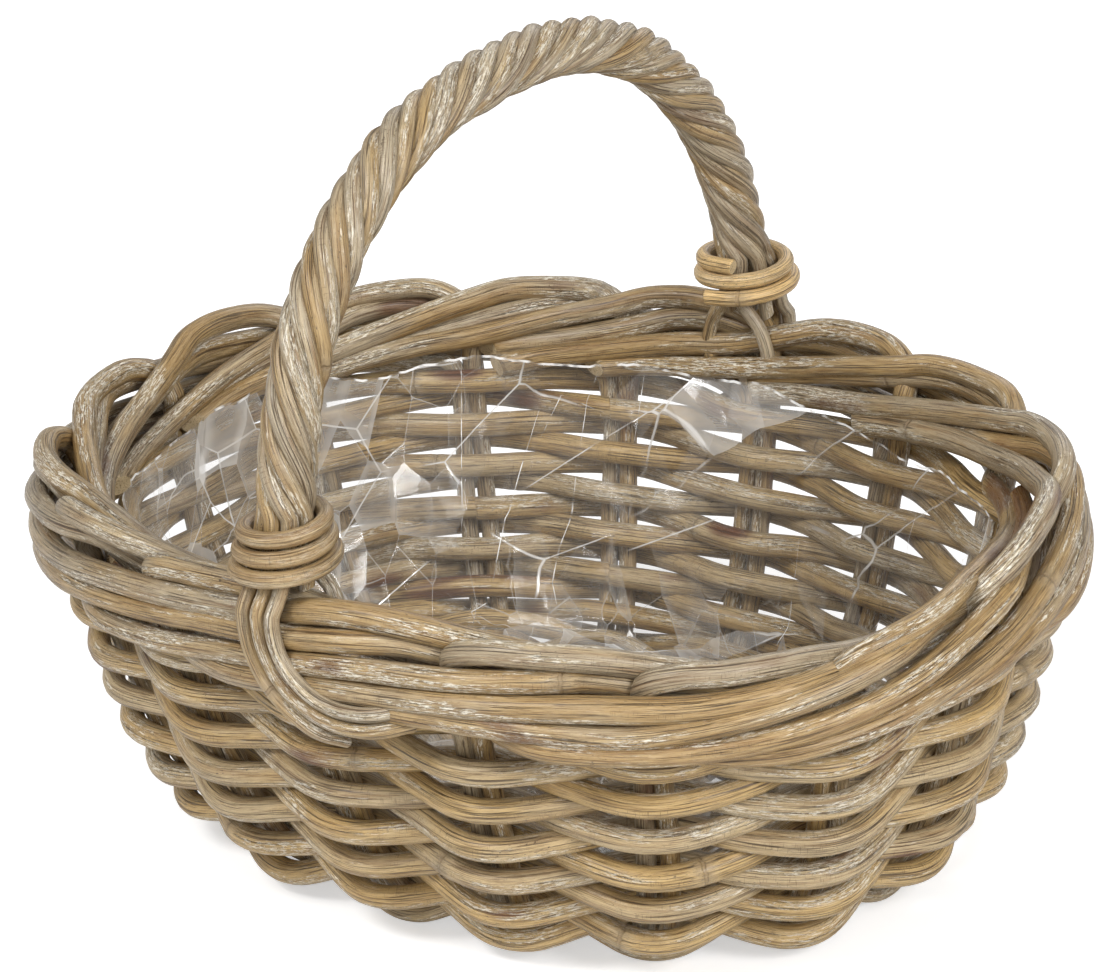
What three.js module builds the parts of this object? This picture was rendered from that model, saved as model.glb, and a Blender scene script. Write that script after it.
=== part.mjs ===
// Oval rattan planter basket with a roped bow handle and a clear film liner.
// Millimetres. X runs along the basket, Y across it under the handle, Z is up, and the base rests on z = 0.
// Every cane is its own solid. The stake rods run up one wall, under the base and up the other wall,
// and both their ends roll round the rim as the border, so the basket holds together by its weave alone.
import * as THREE from 'three';

// Canes
const rodDiameter = 7; // stake rods, whose ends roll over as the border
const weaverDiameter = 7.2; // rows of the wall
const fillerDiameter = 7; // lengthwise canes between the rods of the base
const strandDiameter = 4.8; // roped strands of the handle
const coreDiameter = 7.2; // straight cane inside the handle
const lashingDiameter = 5.6; // cane bound round each foot of the handle
const clearance = 0.3; // left between canes that lie on each other

// Wall, measured at the middle of its thickness
const baseLength = 258;
const baseWidth = 178;
const wallLength = 346; // at wallHeight
const wallWidth = 256; // at wallHeight
const wallHeight = 102; // where the border starts
const ovalPower = 2.34; // 2 is an ellipse, more is squarer
const flarePower = 0.46; // less turns the wall up sooner
const rowPitch = 7.7; // along the slope of the wall
const wallRows = 13; // that go all the way round
const backRow = { from: 1, to: 12 }; // one more, which lies only round the back, between these stake pairs
const baseRows = 2; // rows that lie flat round the edge of the base

// Border
const borderSpread = 7.8; // outwards from the top of the wall
const borderBottom = 110; // height of the lowest strand
const borderSide = 23.4; // straight outer side of the roll
const borderInside = 12.4; // straight inner side of the roll
const rollRadius = 6.1; // round the top of the roll
const borderRun = 3; // stake spacings that each end covers
const borderLead = 6; // along the rim, from a pair to where its lower rod joins the border
const lowerLeave = borderBottom - 1.5; // where the rod of a pair that runs below leaves the wall
const upperLeave = borderBottom + 2.5; // where the other one does
const leaveOut = 1; // the lower rod next passes this far in of the border's middle,
const leaveAlong = 8; // this far along from where it left
const leaveRise = 2; // and this far above borderBottom
const scallopHeight = 1.6; // the top of the border rises and dips once in each stake spacing
const rimDrop = 11; // the whole border is this much lower at its lowest place
const rimDropShare = 0.925; // which is at the front right
const rimDropPower = 10; // more is narrower

// Handle
const handleHalf = 132; // from the middle of the basket to the handle at springHeight
const handleAside = 4.2; // to the left of the middle
const handleRise = 145; // from springHeight to the middle of the handle's top
const springHeight = 132;
const handlePower = 2.29;
const strandCount = 7;
const handleTurns = 5;
const ropeSlack = 0.8; // the strands stand this far off the core between the places where they touch it
const footAbove = 0.7; // from the lashing's highest turn to where the roping ends and the strands part
const lashingTurns = { front: 3, back: 2 };
const lashingAbove = { front: 4, back: 11 }; // from the top of the rim to the middle of the lowest turn
const lashingPitch = 6.1;
const lashingTaper = 1.5; // each turn is this much closer in than the one below it
const strandGap = 0.9; // between the parted strands side by side
const partedOut = 10; // of the parted strands from the handle's middle, inside the lashing
const curlDrop = 8.7; // from the top of the rim to where the outside strands start to turn
const curlRadius = 24; // of the innermost strand's turn
const curlTurn = 100 * Math.PI / 180;
const shortCurlTurn = 60 * Math.PI / 180; // of the outermost strand, which is cut off early
const curlTail = 8; // straight end after the turn
const innerSpread = { top: 10.4, middle: 13, bottom: 11.7 }; // of the strands inside the border, sideways

// Liner
const filmThickness = 0.8;
const linerInset = 13.2; // from the middle of the wall
const linerTop = 116;
const foldDepth = 4; // the film stands in from the wall by up to this where it is crumpled

const stakePairs = 16;
const crossPairs = [2, 3, 4, 5, 6]; // stations on the far side whose rods run across the base
const longPairs = [0, 1, 15]; // stations on the right whose rods run along the base

const rodRadius = rodDiameter / 2;
const weaverRadius = weaverDiameter / 2;
const strandRadius = strandDiameter / 2;
const pairOffset = (rodDiameter + clearance) / 2; // of each rod from the middle of its pair
const weave = rodRadius + weaverRadius + clearance; // of a row from the middle of the wall
const flatReach = pairOffset + 2.5; // a row lies straight this far either side of the middle of a pair
const matWeave = rodRadius + fillerDiameter / 2 + clearance;
const matHeight = matWeave + rodRadius; // middle of the rods that run across the base
const fillerFoot = fillerDiameter / 2 * Math.cos(Math.PI / 6); // a filler's flat side is on the ground
const edgeHeight = weave + weaverRadius; // the flat rows round the edge of the base just clear the ground

const canes = [0xa8916c, 0x9c8a70, 0xb39a72, 0x8d7f6a, 0xbcaa88, 0xa08560];
const rattan = (index) => new THREE.MeshStandardMaterial({
  color: canes[index % canes.length], roughness: 0.62, metalness: 0 });
const lashingCane = new THREE.MeshStandardMaterial({ color: 0xa98d5e, roughness: 0.5, metalness: 0 });
const film = new THREE.MeshStandardMaterial({
  color: 0xe8ecec, roughness: 0.12, metalness: 0, transparent: true, opacity: 0.25 });

// The plan of the basket is a superellipse. Its points are found by angle, and round the basket by share
// of the way round, counted from +X towards +Y, so that stakes stand evenly.
function ovalPoint(semiX, semiY, angle) {
  const c = Math.cos(angle);
  const s = Math.sin(angle);
  const nearX = Math.abs(c) ** (2 / ovalPower);
  const nearY = Math.abs(s) ** (2 / ovalPower);
  const x = semiX * Math.sign(c) * nearX;
  const y = semiY * Math.sign(s) * nearY;
  const normal = new THREE.Vector2(Math.sign(c) * nearX ** (ovalPower - 1) / semiX,
    Math.sign(s) * nearY ** (ovalPower - 1) / semiY).normalize();
  return { x, y, normal };
}

const ovalSteps = 2880;
const ovalLengths = [0];
for (let i = 1; i <= ovalSteps; i += 1) {
  const before = ovalPoint(wallLength / 2, wallWidth / 2, 2 * Math.PI * (i - 1) / ovalSteps);
  const here = ovalPoint(wallLength / 2, wallWidth / 2, 2 * Math.PI * i / ovalSteps);
  ovalLengths.push(ovalLengths[i - 1] + Math.hypot(here.x - before.x, here.y - before.y));
}
const perimeter = ovalLengths[ovalSteps];

function angleAt(share) {
  const wanted = (share - Math.floor(share)) * perimeter;
  let low = 0;
  let high = ovalSteps;
  while (high - low > 1) {
    const middle = (low + high) >> 1;
    if (ovalLengths[middle] <= wanted) low = middle;
    else high = middle;
  }
  const part = (wanted - ovalLengths[low]) / (ovalLengths[high] - ovalLengths[low]);
  return 2 * Math.PI * (low + part) / ovalSteps;
}

// Slope of the wall: how far up and out it is after a length along it from the edge of the base
const flareX = (wallLength - baseLength) / 2;
const flareY = (wallWidth - baseWidth) / 2;
const wallRise = wallHeight - edgeHeight;
const spreadAt = (height) => (Math.max(0, height - edgeHeight) / wallRise) ** flarePower;
const slopeTable = [{ length: 0, height: edgeHeight }];
const slopeSteps = 400;
for (let i = 1; i <= slopeSteps; i += 1) {
  const last = slopeTable[i - 1];
  const height = edgeHeight + 1.5 * wallRise * (i / slopeSteps) ** 2.5;
  const out = (flareX + flareY) / 2 * (spreadAt(height) - spreadAt(last.height));
  slopeTable.push({ length: last.length + Math.hypot(out, height - last.height), height });
}

function heightAt(length) {
  const i = slopeTable.findIndex((row) => row.length >= length);
  const a = slopeTable[i - 1];
  const b = slopeTable[i];
  return a.height + (b.height - a.height) * (length - a.length) / (b.length - a.length);
}

const slopeLengthAt = (height) => slopeTable.find((row) => row.height >= height).length;

// A point of the wall: share round the basket, length up the slope from the edge of the base (less than
// zero on the base itself), distance out of the wall's middle and distance along it.
function wallPoint(share, length, out, along = 0) {
  const angle = angleAt(share);
  const onBase = length <= 0;
  const height = onBase ? edgeHeight : heightAt(length);
  const spread = spreadAt(height);
  const inwards = Math.min(0, length);
  const semiX = baseLength / 2 + flareX * spread + inwards;
  const semiY = baseWidth / 2 + flareY * spread + inwards;
  const point = ovalPoint(semiX, semiY, angle);
  const { normal } = point;
  let outwards = 0;
  let downwards = 1;
  if (!onBase) {
    const lower = spreadAt(height - 0.01);
    const rate = (spread - lower) / 0.01;
    const unit = ovalPoint(flareX * rate, flareY * rate, angle);
    const lean = Math.atan(unit.x * normal.x + unit.y * normal.y);
    outwards = Math.cos(lean);
    downwards = Math.sin(lean);
  }
  return new THREE.Vector3(
    point.x + normal.x * out * outwards - normal.y * along,
    point.y + normal.y * out * outwards + normal.x * along,
    height - out * downwards);
}

// The rim lies lower towards the front right, where the wall is one row less
const dropAt = (share) => (
  rimDrop * ((1 + Math.cos(2 * Math.PI * (share - rimDropShare))) / 2) ** rimDropPower);

// A point by the rim: share round the basket, distance out of the middle of the border, distance along it
// and height at the back. The upper part of the border is scalloped.
const rimRise = borderSide + rollRadius;

function rimPoint(share, out, along, height) {
  const place = share + along / perimeter;
  const point = ovalPoint(wallLength / 2 + borderSpread, wallWidth / 2 + borderSpread, angleAt(place));
  const upper = Math.min(1, Math.max(0, (height - borderBottom) / rimRise));
  const scallop = Math.abs(Math.sin(Math.PI * place * stakePairs)) - 1;
  return new THREE.Vector3(point.x + point.normal.x * out, point.y + point.normal.y * out,
    height + scallopHeight * upper * scallop - dropAt(place));
}

// A cane follows a route of points that are each one ring of its surface.
class Route extends THREE.Curve {
  constructor(points) {
    super();
    this.points = points;
  }

  getPoint(share) {
    const place = share * (this.points.length - 1);
    const i = Math.min(Math.floor(place + 1e-9), this.points.length - 2);
    return this.points[i].clone().lerp(this.points[i + 1], place - i);
  }

  getPointAt(share) {
    return this.getPoint(share);
  }

  getTangentAt(share) {
    const i = Math.round(share * (this.points.length - 1));
    const before = this.points[Math.max(0, i - 1)];
    const after = this.points[Math.min(this.points.length - 1, i + 1)];
    const here = this.points[i];
    const inTangent = here.clone().sub(before).normalize();
    const outTangent = after.clone().sub(here).normalize();
    return inTangent.add(outTangent).normalize();
  }
}

function cane(name, points, diameter, material, sides = 5) {
  const section = new THREE.Shape();
  for (let i = 0; i < sides; i += 1) {
    const angle = 2 * Math.PI * (i + 0.5) / sides;
    const x = diameter / 2 * Math.cos(angle);
    const y = diameter / 2 * Math.sin(angle);
    if (i === 0) section.moveTo(x, y);
    else section.lineTo(x, y);
  }
  section.closePath();
  const geometry = new THREE.ExtrudeGeometry(section, {
    steps: points.length - 1, bevelEnabled: false, extrudePath: new Route(points) });
  const mesh = new THREE.Mesh(geometry, material);
  mesh.name = name;
  return mesh;
}

const basket = new THREE.Group();
basket.name = 'rattan_planter_basket';

// Length round the wall, at a length up its slope
function ringLength(length) {
  const spread = length > 0 ? spreadAt(heightAt(length)) : 0;
  return perimeter * (baseWidth / 2 + flareY * spread + Math.min(0, length)) / (wallWidth / 2);
}

// Rows: each cane goes once round, outside one stake pair and inside the next, and its ends meet inside
// a pair. The next row up does the opposite. The top row goes only round the back.
function rowRoute(row) {
  const length = (row - baseRows + 0.5) * rowPitch;
  const flat = flatReach / ringLength(length);
  const seam = clearance / perimeter;
  const whole = row < baseRows + wallRows;
  const first = whole ? 2 * ((3 * row) % (stakePairs / 2)) + (row + 1) % 2 : backRow.from;
  const pairs = whole ? stakePairs : backRow.to - backRow.from;
  const route = [];
  for (let i = 0; i <= pairs; i += 1) {
    const station = first + i;
    const share = station / stakePairs;
    const side = (row + station) % 2 === 0 ? 1 : -1;
    if (i > 0) {
      route.push(wallPoint((station - 0.5) / stakePairs, length, 0));
      route.push(wallPoint(share - flat, length, side * weave));
    }
    if (i === 0) route.push(wallPoint(share + seam, length, side * weave));
    if (i === pairs) route.push(wallPoint(share - seam, length, side * weave));
    else route.push(wallPoint(share + flat, length, side * weave));
  }
  return route;
}

for (let row = 0; row <= baseRows + wallRows; row += 1) {
  const wallName = `wall_row_${String(row - baseRows + 1).padStart(2, '0')}`;
  const name = row < baseRows ? `base_row_${row + 1}` : wallName;
  basket.add(cane(name, rowRoute(row), weaverDiameter, rattan(row)));
}

// The border's section: length along its path from the foot of the outer side, over the top and down inside
function rollPoint(length) {
  if (length < borderSide) return { out: rollRadius, height: borderBottom + length };
  const top = borderBottom + borderSide;
  const turn = (length - borderSide) / rollRadius;
  if (turn > Math.PI) return { out: -rollRadius, height: top - (turn - Math.PI) * rollRadius };
  return { out: rollRadius * Math.cos(turn), height: top + rollRadius * Math.sin(turn) };
}

// A rod from the base up the wall and round the border. side is 1 for the rod of the pair that lies
// further round, which leaves the wall first and runs below the other one.
const borderStep = (borderSide + Math.PI * rollRadius + borderInside) / borderRun; // in one stake spacing
const borderRuns = [];
for (let run = 0.5; run < borderRun; run += 0.5) {
  borderRuns.push(run);
  if (run > 1 && run < 2.5) borderRuns.push(run + 0.25); // closer together over the top
}
borderRuns.push(borderRun);
const rodBends = [-1.4, 0.4, 1.7, 4.2, 7.6]; // where a rod is bent to the wall's slope, in rows up it

function rodEnd(station, side) {
  const share = station / stakePairs;
  const spacing = perimeter / stakePairs;
  const points = [];
  for (const rows of rodBends) points.push(wallPoint(share, rows * rowPitch, 0, side * pairOffset));
  const leave = (side > 0 ? lowerLeave : upperLeave) - dropAt(share);
  points.push(wallPoint(share, slopeLengthAt(leave), 0, side * pairOffset));
  if (side > 0) points.push(rimPoint(share, -leaveOut, pairOffset + leaveAlong, borderBottom + leaveRise));
  const start = side > 0 ? borderLead : borderLead - spacing / 2;
  for (const run of borderRuns) {
    const { out, height } = rollPoint(run * borderStep);
    points.push(rimPoint(share, out, start + run * spacing, height));
  }
  return points;
}

// Rods of the base: the cross pairs run straight, and the long pairs and the fillers between them weave
// over and under them.
const matInset = baseRows * rowPitch + weaverRadius;
const matSemiX = baseLength / 2 - matInset;
const matSemiY = baseWidth / 2 - matInset;
const matPlace = (station) => ovalPoint(matSemiX, matSemiY, angleAt(station / stakePairs));
const crossings = crossPairs.map((station) => matPlace(station).x).sort((a, b) => a - b);
const crossWidth = pairOffset + 2.5; // from the middle of a pair to where a cane leaves it

function wovenRoute(y, parity, halfLength, lowHeight) {
  const route = [];
  crossings.forEach((x, i) => {
    const height = (i + parity) % 2 === 0 ? matHeight + matWeave : lowHeight;
    for (const edge of [x - crossWidth, x + crossWidth]) {
      const kept = Math.min(halfLength, Math.max(-halfLength, edge));
      if (Math.abs(x) - crossWidth < halfLength) route.push(new THREE.Vector3(kept, y, height));
    }
  });
  if (Math.abs(route[0].x) < halfLength - 1) {
    route.unshift(new THREE.Vector3(-halfLength, y, route[0].z));
    route.push(new THREE.Vector3(halfLength, y, route[route.length - 1].z));
  }
  return route;
}

crossPairs.forEach((station, pair) => {
  const far = matPlace(station);
  for (const side of [1, -1]) {
    const x = far.x - side * pairOffset;
    const across = [far.y - rowPitch, rowPitch - far.y].map((y) => new THREE.Vector3(x, y, matHeight));
    const route = [...rodEnd(station, side).reverse(), ...across, ...rodEnd(stakePairs - station, -side)];
    const name = `cross_rod_${pair + 1}${side > 0 ? 'a' : 'b'}`;
    basket.add(cane(name, route, rodDiameter, rattan(2 * pair + (side > 0 ? 1 : 4))));
  }
});

longPairs.forEach((station, pair) => {
  const right = matPlace(station);
  for (const side of [1, -1]) {
    const parity = station === 0 ? 0 : 1;
    const along = wovenRoute(right.y + side * pairOffset, parity, right.x - rowPitch, matHeight - matWeave);
    const opposite = (stakePairs / 2 - station + stakePairs) % stakePairs;
    const route = [...rodEnd(station, side).reverse(), ...along.reverse(), ...rodEnd(opposite, -side)];
    const name = `long_rod_${pair + 1}${side > 0 ? 'a' : 'b'}`;
    basket.add(cane(name, route, rodDiameter, rattan(2 * pair + (side > 0 ? 0 : 3))));
  }
});

// Fillers, evenly between the long pairs and on out to the edge rows
const longY = matPlace(1).y;
const innerFillers = 2;
const outerFillers = 3;
const innerStep = (longY - 2 * pairOffset) / (innerFillers + 1);
const outerStep = fillerDiameter + clearance;
const fillerPlaces = [];
for (let i = 1; i <= innerFillers; i += 1) fillerPlaces.push({ y: pairOffset + i * innerStep, parity: i });
for (let i = 1; i <= outerFillers; i += 1) {
  fillerPlaces.push({ y: longY + pairOffset + i * outerStep, parity: i + 1 });
}
fillerPlaces.forEach(({ y, parity }, i) => {
  const edge = y + fillerDiameter / 2;
  const reach = (1 - (edge / matSemiY) ** ovalPower) ** (1 / ovalPower);
  const halfLength = matSemiX * reach - fillerDiameter / 2 - clearance;
  for (const side of [1, -1]) {
    const name = `base_filler_${i + 1}${side > 0 ? 'a' : 'b'}`;
    const route = wovenRoute(side * y, parity, halfLength, fillerFoot);
    basket.add(cane(name, route, fillerDiameter, rattan(i + 2 * side + 2), 6));
  }
});

// Handle: a straight core with strands roped round it to the left, in a bow across the basket
const bowSteps = 720;
const bow = [];
for (let i = 0; i <= bowSteps; i += 1) {
  const angle = Math.PI * i / bowSteps;
  const c = Math.cos(angle);
  bow.push(new THREE.Vector3(-handleAside, -handleHalf * Math.sign(c) * Math.abs(c) ** (2 / handlePower),
    springHeight + handleRise * Math.sin(angle) ** (2 / handlePower)));
}
const bowLengths = [0];
for (let i = 1; i <= bowSteps; i += 1) bowLengths.push(bowLengths[i - 1] + bow[i].distanceTo(bow[i - 1]));
const bowLength = bowLengths[bowSteps];

function bowFrame(length) {
  const i = Math.min(bowSteps - 1, Math.max(1, bowLengths.findIndex((value) => value >= length)));
  const part = (length - bowLengths[i - 1]) / (bowLengths[i] - bowLengths[i - 1]);
  const point = bow[i - 1].clone().lerp(bow[i], part);
  const tangent = bow[i].clone().sub(bow[i - 1]).normalize();
  const outwards = new THREE.Vector3(0, -tangent.z, tangent.y);
  return { point, outwards };
}

const rimTop = borderBottom + borderSide + rollRadius + rodRadius;
const footDrop = { front: dropAt(0.75), back: dropAt(0.25) };
const bowLengthAt = (height) => bowLengths[bow.findIndex((point) => point.z >= height)];
const turnHeight = (foot, turn) => rimTop - footDrop[foot] + lashingAbove[foot] + lashingPitch * turn;
const footFront = bowLengthAt(turnHeight('front', lashingTurns.front) + footAbove);
const footBack = bowLengthAt(turnHeight('back', lashingTurns.back) + footAbove);
const ropeLength = bowLength - footFront - footBack;
const ropeRadius = coreDiameter / 2 + ropeSlack + strandRadius;

// The strands part below the lashing. Those on the outside run down over the border and turn along it,
// those on the inside run down inside it, and the two at the sides end on top of it.
const handleIn = wallWidth / 2 + borderSpread - handleHalf; // of the handle from the middle of the border
const strandPitch = strandDiameter + strandGap;
const borderFace = rollRadius + rodRadius + 1.5 * clearance + strandRadius; // out to a strand on the border
const shoulder = rollRadius + strandRadius; // out to a strand that bends over the top of the border

const curlSteps = 3;

function footRoute(angle, foot) {
  const mirror = foot === 'front' ? 1 : -1;
  const lashingBottom = rimTop + lashingAbove[foot];
  const rank = Math.round(angle / (2 * Math.PI / strandCount));
  const station = mirror > 0 ? 3 * stakePairs / 4 : stakePairs / 4;
  const aside = -mirror * handleAside;
  const at = (out, along, height) => rimPoint(station / stakePairs, out, aside + along, height);
  const spread = mirror * rank * strandPitch;
  const points = [];
  if (Math.abs(rank) <= 1) {
    points.push(at(partedOut - handleIn, spread, lashingBottom - clearance));
    points.push(at(shoulder, spread, rimTop + clearance));
    points.push(at(borderFace, spread, rimTop - curlDrop / 2));
    const curlTop = rimTop - curlDrop;
    const centre = strandPitch + curlRadius;
    const radius = centre - spread;
    const fullTurn = spread < 0 ? shortCurlTurn : curlTurn;
    for (let step = 0; step <= curlSteps; step += 1) {
      const turn = fullTurn * step / curlSteps;
      points.push(at(borderFace, centre - radius * Math.cos(turn), curlTop - radius * Math.sin(turn)));
    }
    const tail = new THREE.Vector2(Math.sin(fullTurn), -Math.cos(fullTurn)).multiplyScalar(curlTail);
    points.push(at(borderFace, centre - radius * Math.cos(fullTurn) + tail.x,
      curlTop - radius * Math.sin(fullTurn) + tail.y));
  } else if (Math.abs(rank) === 2) {
    const side = mirror * Math.sign(rank);
    points.push(at(-clearance - handleIn, side * (ropeRadius + strandGap), rimTop + clearance));
  } else {
    const side = mirror * Math.sign(rank);
    points.push(at(-partedOut - handleIn, side * strandPitch / 2, lashingBottom - clearance));
    points.push(at(-borderFace, side * innerSpread.top, rimTop - strandRadius));
    points.push(at(-borderFace, side * innerSpread.middle, (rimTop + linerTop) / 2));
    points.push(at(-borderFace, side * innerSpread.bottom, linerTop + 2 * strandDiameter));
  }
  return points;
}

const ropeSteps = 36;
for (let strand = 0; strand < strandCount; strand += 1) {
  const rank = strand > strandCount / 2 ? strand - strandCount : strand;
  const footAngle = 2 * Math.PI * rank / strandCount;
  const route = footRoute(footAngle, 'front').reverse();
  for (let i = 0; i <= ropeSteps; i += 1) {
    const share = i / ropeSteps;
    const angle = footAngle - 2 * Math.PI * handleTurns * share;
    const { point, outwards } = bowFrame(footFront + ropeLength * share);
    const offset = outwards.multiplyScalar(Math.cos(angle)).add(new THREE.Vector3(Math.sin(angle), 0, 0));
    route.push(point.add(offset.multiplyScalar(ropeRadius)));
  }
  route.push(...footRoute(footAngle, 'back'));
  basket.add(cane(`handle_strand_${strand + 1}`, route, strandDiameter, rattan(strand + 3)));
}

const coreSteps = 20;
const coreRoute = [];
const coreFront = bowLengthAt(rimTop + clearance - footDrop.front);
const coreBack = bowLengthAt(rimTop + clearance - footDrop.back);
for (let i = 0; i <= coreSteps; i += 1) {
  coreRoute.push(bowFrame(coreFront + (bowLength - coreFront - coreBack) * i / coreSteps).point);
}
basket.add(cane('handle_core', coreRoute, coreDiameter, rattan(3), 6));

// Lashings: one cane wound round each foot of the handle, wider below where the strands part. Its ends
// run straight for one diameter.
const loopSteps = 16;
const lashingInner = Math.hypot(partedOut, strandPitch) + strandRadius + clearance;

function lashingRoute(foot) {
  const mirror = foot === 'front' ? 1 : -1;
  const route = [];
  for (let i = 0; i <= lashingTurns[foot] * loopSteps; i += 1) {
    const turn = i / loopSteps;
    const radius = lashingInner + clearance + lashingDiameter / 2 - lashingTaper * turn;
    const angle = Math.PI / 2 * mirror + 2 * Math.PI * turn;
    const height = turnHeight(foot, turn);
    const centre = bow.find((point) => point.z >= height).y * mirror;
    route.push(new THREE.Vector3(radius * Math.cos(angle) - handleAside, centre + radius * Math.sin(angle),
      height));
  }
  const last = route.length - 1;
  const startWay = route[0].clone().sub(route[1]).setLength(lashingDiameter);
  const endWay = route[last].clone().sub(route[last - 1]).setLength(lashingDiameter);
  return [route[0].clone().add(startWay), ...route, route[last].clone().add(endWay)];
}

function leastGap(route, diameter) {
  const apart = Math.round(loopSteps / 2);
  let least = Infinity;
  for (let i = 0; i < route.length; i += 1) {
    for (let j = i + apart; j < route.length; j += 1) {
      least = Math.min(least, route[i].distanceTo(route[j]));
    }
  }
  return least - diameter;
}

for (const foot of ['front', 'back']) {
  const route = lashingRoute(foot);
  console.log(`${foot}_lashing: least gap to itself ${leastGap(route, lashingDiameter).toFixed(2)} mm`);
  basket.add(cane(`${foot}_lashing`, route, lashingDiameter, lashingCane, 6));
}

// Liner: an open bag of clear film that lies against the inside of the wall and on the base
const linerAround = 24;
const linerFloor = edgeHeight + weave + weaverRadius + clearance;
const linerTopLength = slopeLengthAt(linerTop);
const linerBends = [1.1, 2.2, 4.4, 7.6]; // where its facets meet on the wall, in rows up it
const linerRings = [0, 0.43, 0.86]; // and on its floor, as shares of the way out to its edge
const linerLengths = linerBends.map((rows) => rows * rowPitch).concat(linerTopLength);
const linerLevels = linerRings.map((floor) => ({ floor }));
linerLevels.push(...linerLengths.map((length) => ({ length })));
linerLevels.forEach((level, i) => { level.place = i; });
const foldTurns = [2.4, 1.9]; // radians round the film and up it, so unlike that no two folds line up

// A point of the film: every corner of its facets stands in by its own share of foldDepth
function linerPoint(level, around, inset) {
  const share = around / linerAround;
  const fold = foldDepth * Math.abs(Math.sin(foldTurns[0] * around + foldTurns[1] * level.place ** 2));
  if (level.length) return wallPoint(share, level.length, -linerInset - fold - inset);
  if (level.floor === 0) return new THREE.Vector3(0, 0, linerFloor + inset);
  const edge = wallPoint(share, linerLengths[0], -linerInset - inset);
  return new THREE.Vector3(edge.x * level.floor, edge.y * level.floor, linerFloor + fold + inset);
}

const linerProfile = [...linerLevels.map((level) => ({ level, inset: 0 })),
  ...linerLevels.map((level) => ({ level, inset: filmThickness })).reverse()];
const onAxis = (i) => i === 0 || i === linerProfile.length - 1;
const latheProfile = linerProfile.map((entry, i) => new THREE.Vector2(onAxis(i) ? 0 : 1, i));
const linerGeometry = new THREE.LatheGeometry(latheProfile, linerAround);
const linerPositions = linerGeometry.attributes.position;
for (let i = 0; i < linerPositions.count; i += 1) {
  const around = Math.floor(i / linerProfile.length) % linerAround;
  const { level, inset } = linerProfile[i % linerProfile.length];
  const point = linerPoint(level, around, inset);
  linerPositions.setXYZ(i, point.x, point.y, point.z);
}
const liner = new THREE.Mesh(linerGeometry, film);
liner.name = 'film_liner';
basket.add(liner);

export default basket;
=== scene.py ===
import math
import random
from mathutils import Matrix, Vector, noise
import bpy


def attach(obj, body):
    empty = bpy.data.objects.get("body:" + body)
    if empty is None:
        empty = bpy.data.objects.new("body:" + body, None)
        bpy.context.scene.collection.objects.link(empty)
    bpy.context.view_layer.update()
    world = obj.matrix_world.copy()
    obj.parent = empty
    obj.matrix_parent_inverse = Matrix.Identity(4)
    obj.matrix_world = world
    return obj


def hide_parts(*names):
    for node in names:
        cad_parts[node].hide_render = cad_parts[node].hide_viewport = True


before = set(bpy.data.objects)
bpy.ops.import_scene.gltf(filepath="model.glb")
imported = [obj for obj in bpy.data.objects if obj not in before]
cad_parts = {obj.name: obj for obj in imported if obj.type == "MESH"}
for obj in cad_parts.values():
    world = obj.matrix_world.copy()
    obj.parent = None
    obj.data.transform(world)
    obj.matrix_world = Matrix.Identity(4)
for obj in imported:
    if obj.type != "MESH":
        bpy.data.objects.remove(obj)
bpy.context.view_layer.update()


def placed(name, data):
    """A new object in the scene."""
    thing = bpy.data.objects.new(name, data)
    bpy.context.scene.collection.objects.link(thing)
    return thing


# Camera: a long lens looks down on the basket from its front right corner, tipped a little so that the
# right end of the basket stands higher in the picture.
look_at = Vector((0, 0, 0.09))
look_from = 1.6
turn, height_angle, tip = math.radians(38.84), math.radians(24.63), math.radians(4.58)
picture_width, sensor_width = 1107, 36
focal = 4575 / picture_width       # 4575 px, in widths of the picture
below_middle = 91.7 / picture_width

back = Vector((math.sin(turn) * math.cos(height_angle), -math.cos(turn) * math.cos(height_angle),
               math.sin(height_angle)))
level = Vector((math.cos(turn), math.sin(turn), 0))
rise = back.cross(level)
tipped_up = level * math.sin(tip) + rise * math.cos(tip)
look_back = (back * focal - tipped_up * below_middle).normalized()
look_right = tipped_up.cross(look_back).normalized()
look_up = look_back.cross(look_right)
camera = placed("camera", bpy.data.cameras.new("camera"))
camera.data.sensor_width = sensor_width
camera.data.lens = sensor_width * focal
camera.data.clip_end = 20
camera.matrix_world = Matrix.Translation(look_at + back * look_from) @ Matrix(
    (look_right, look_up, look_back)).transposed().to_4x4()
bpy.context.scene.camera = camera
bpy.context.scene.view_settings.view_transform = "Standard"

# Wall rows: unsplit rattan, each row one cane woven in front of one pair of stakes and behind the next.
# The plan is a superellipse, and places round it are shares of the way round from the right-hand end.
stake_pairs = 16
row_pitch = 0.0077
weaver_thickness = 0.0087
base_weaver_thickness = 0.0058
weave_out = 0.0074       # of a row from the middle of the wall
base_rows, wall_rows = 2, 13
back_row = (1, 12)       # one more row lies only round the back, from one stake pair to another
flat_reach = 0.00615     # a row runs level this far each way where it passes a stake pair
rim_drop, rim_drop_share, rim_drop_power = 0.011, 0.925, 10
base_size = (0.258, 0.178)
wall_size = (0.346, 0.256)
oval_power = 2.34
flare_power = 0.46
edge_height = 0.011      # where the wall starts, at the edge of the base
wall_rise = 0.102 - edge_height
flare = ((wall_size[0] - base_size[0]) / 2, (wall_size[1] - base_size[1]) / 2)


def oval_point(semi_x, semi_y, angle):
    """A place on the superellipse, and the direction out of it."""
    c, s = math.cos(angle), math.sin(angle)
    near_x, near_y = abs(c) ** (2 / oval_power), abs(s) ** (2 / oval_power)
    out = Vector((math.copysign(near_x ** (oval_power - 1), c) / semi_x,
                  math.copysign(near_y ** (oval_power - 1), s) / semi_y, 0)).normalized()
    return Vector((semi_x * math.copysign(near_x, c), semi_y * math.copysign(near_y, s), 0)), out


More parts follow.
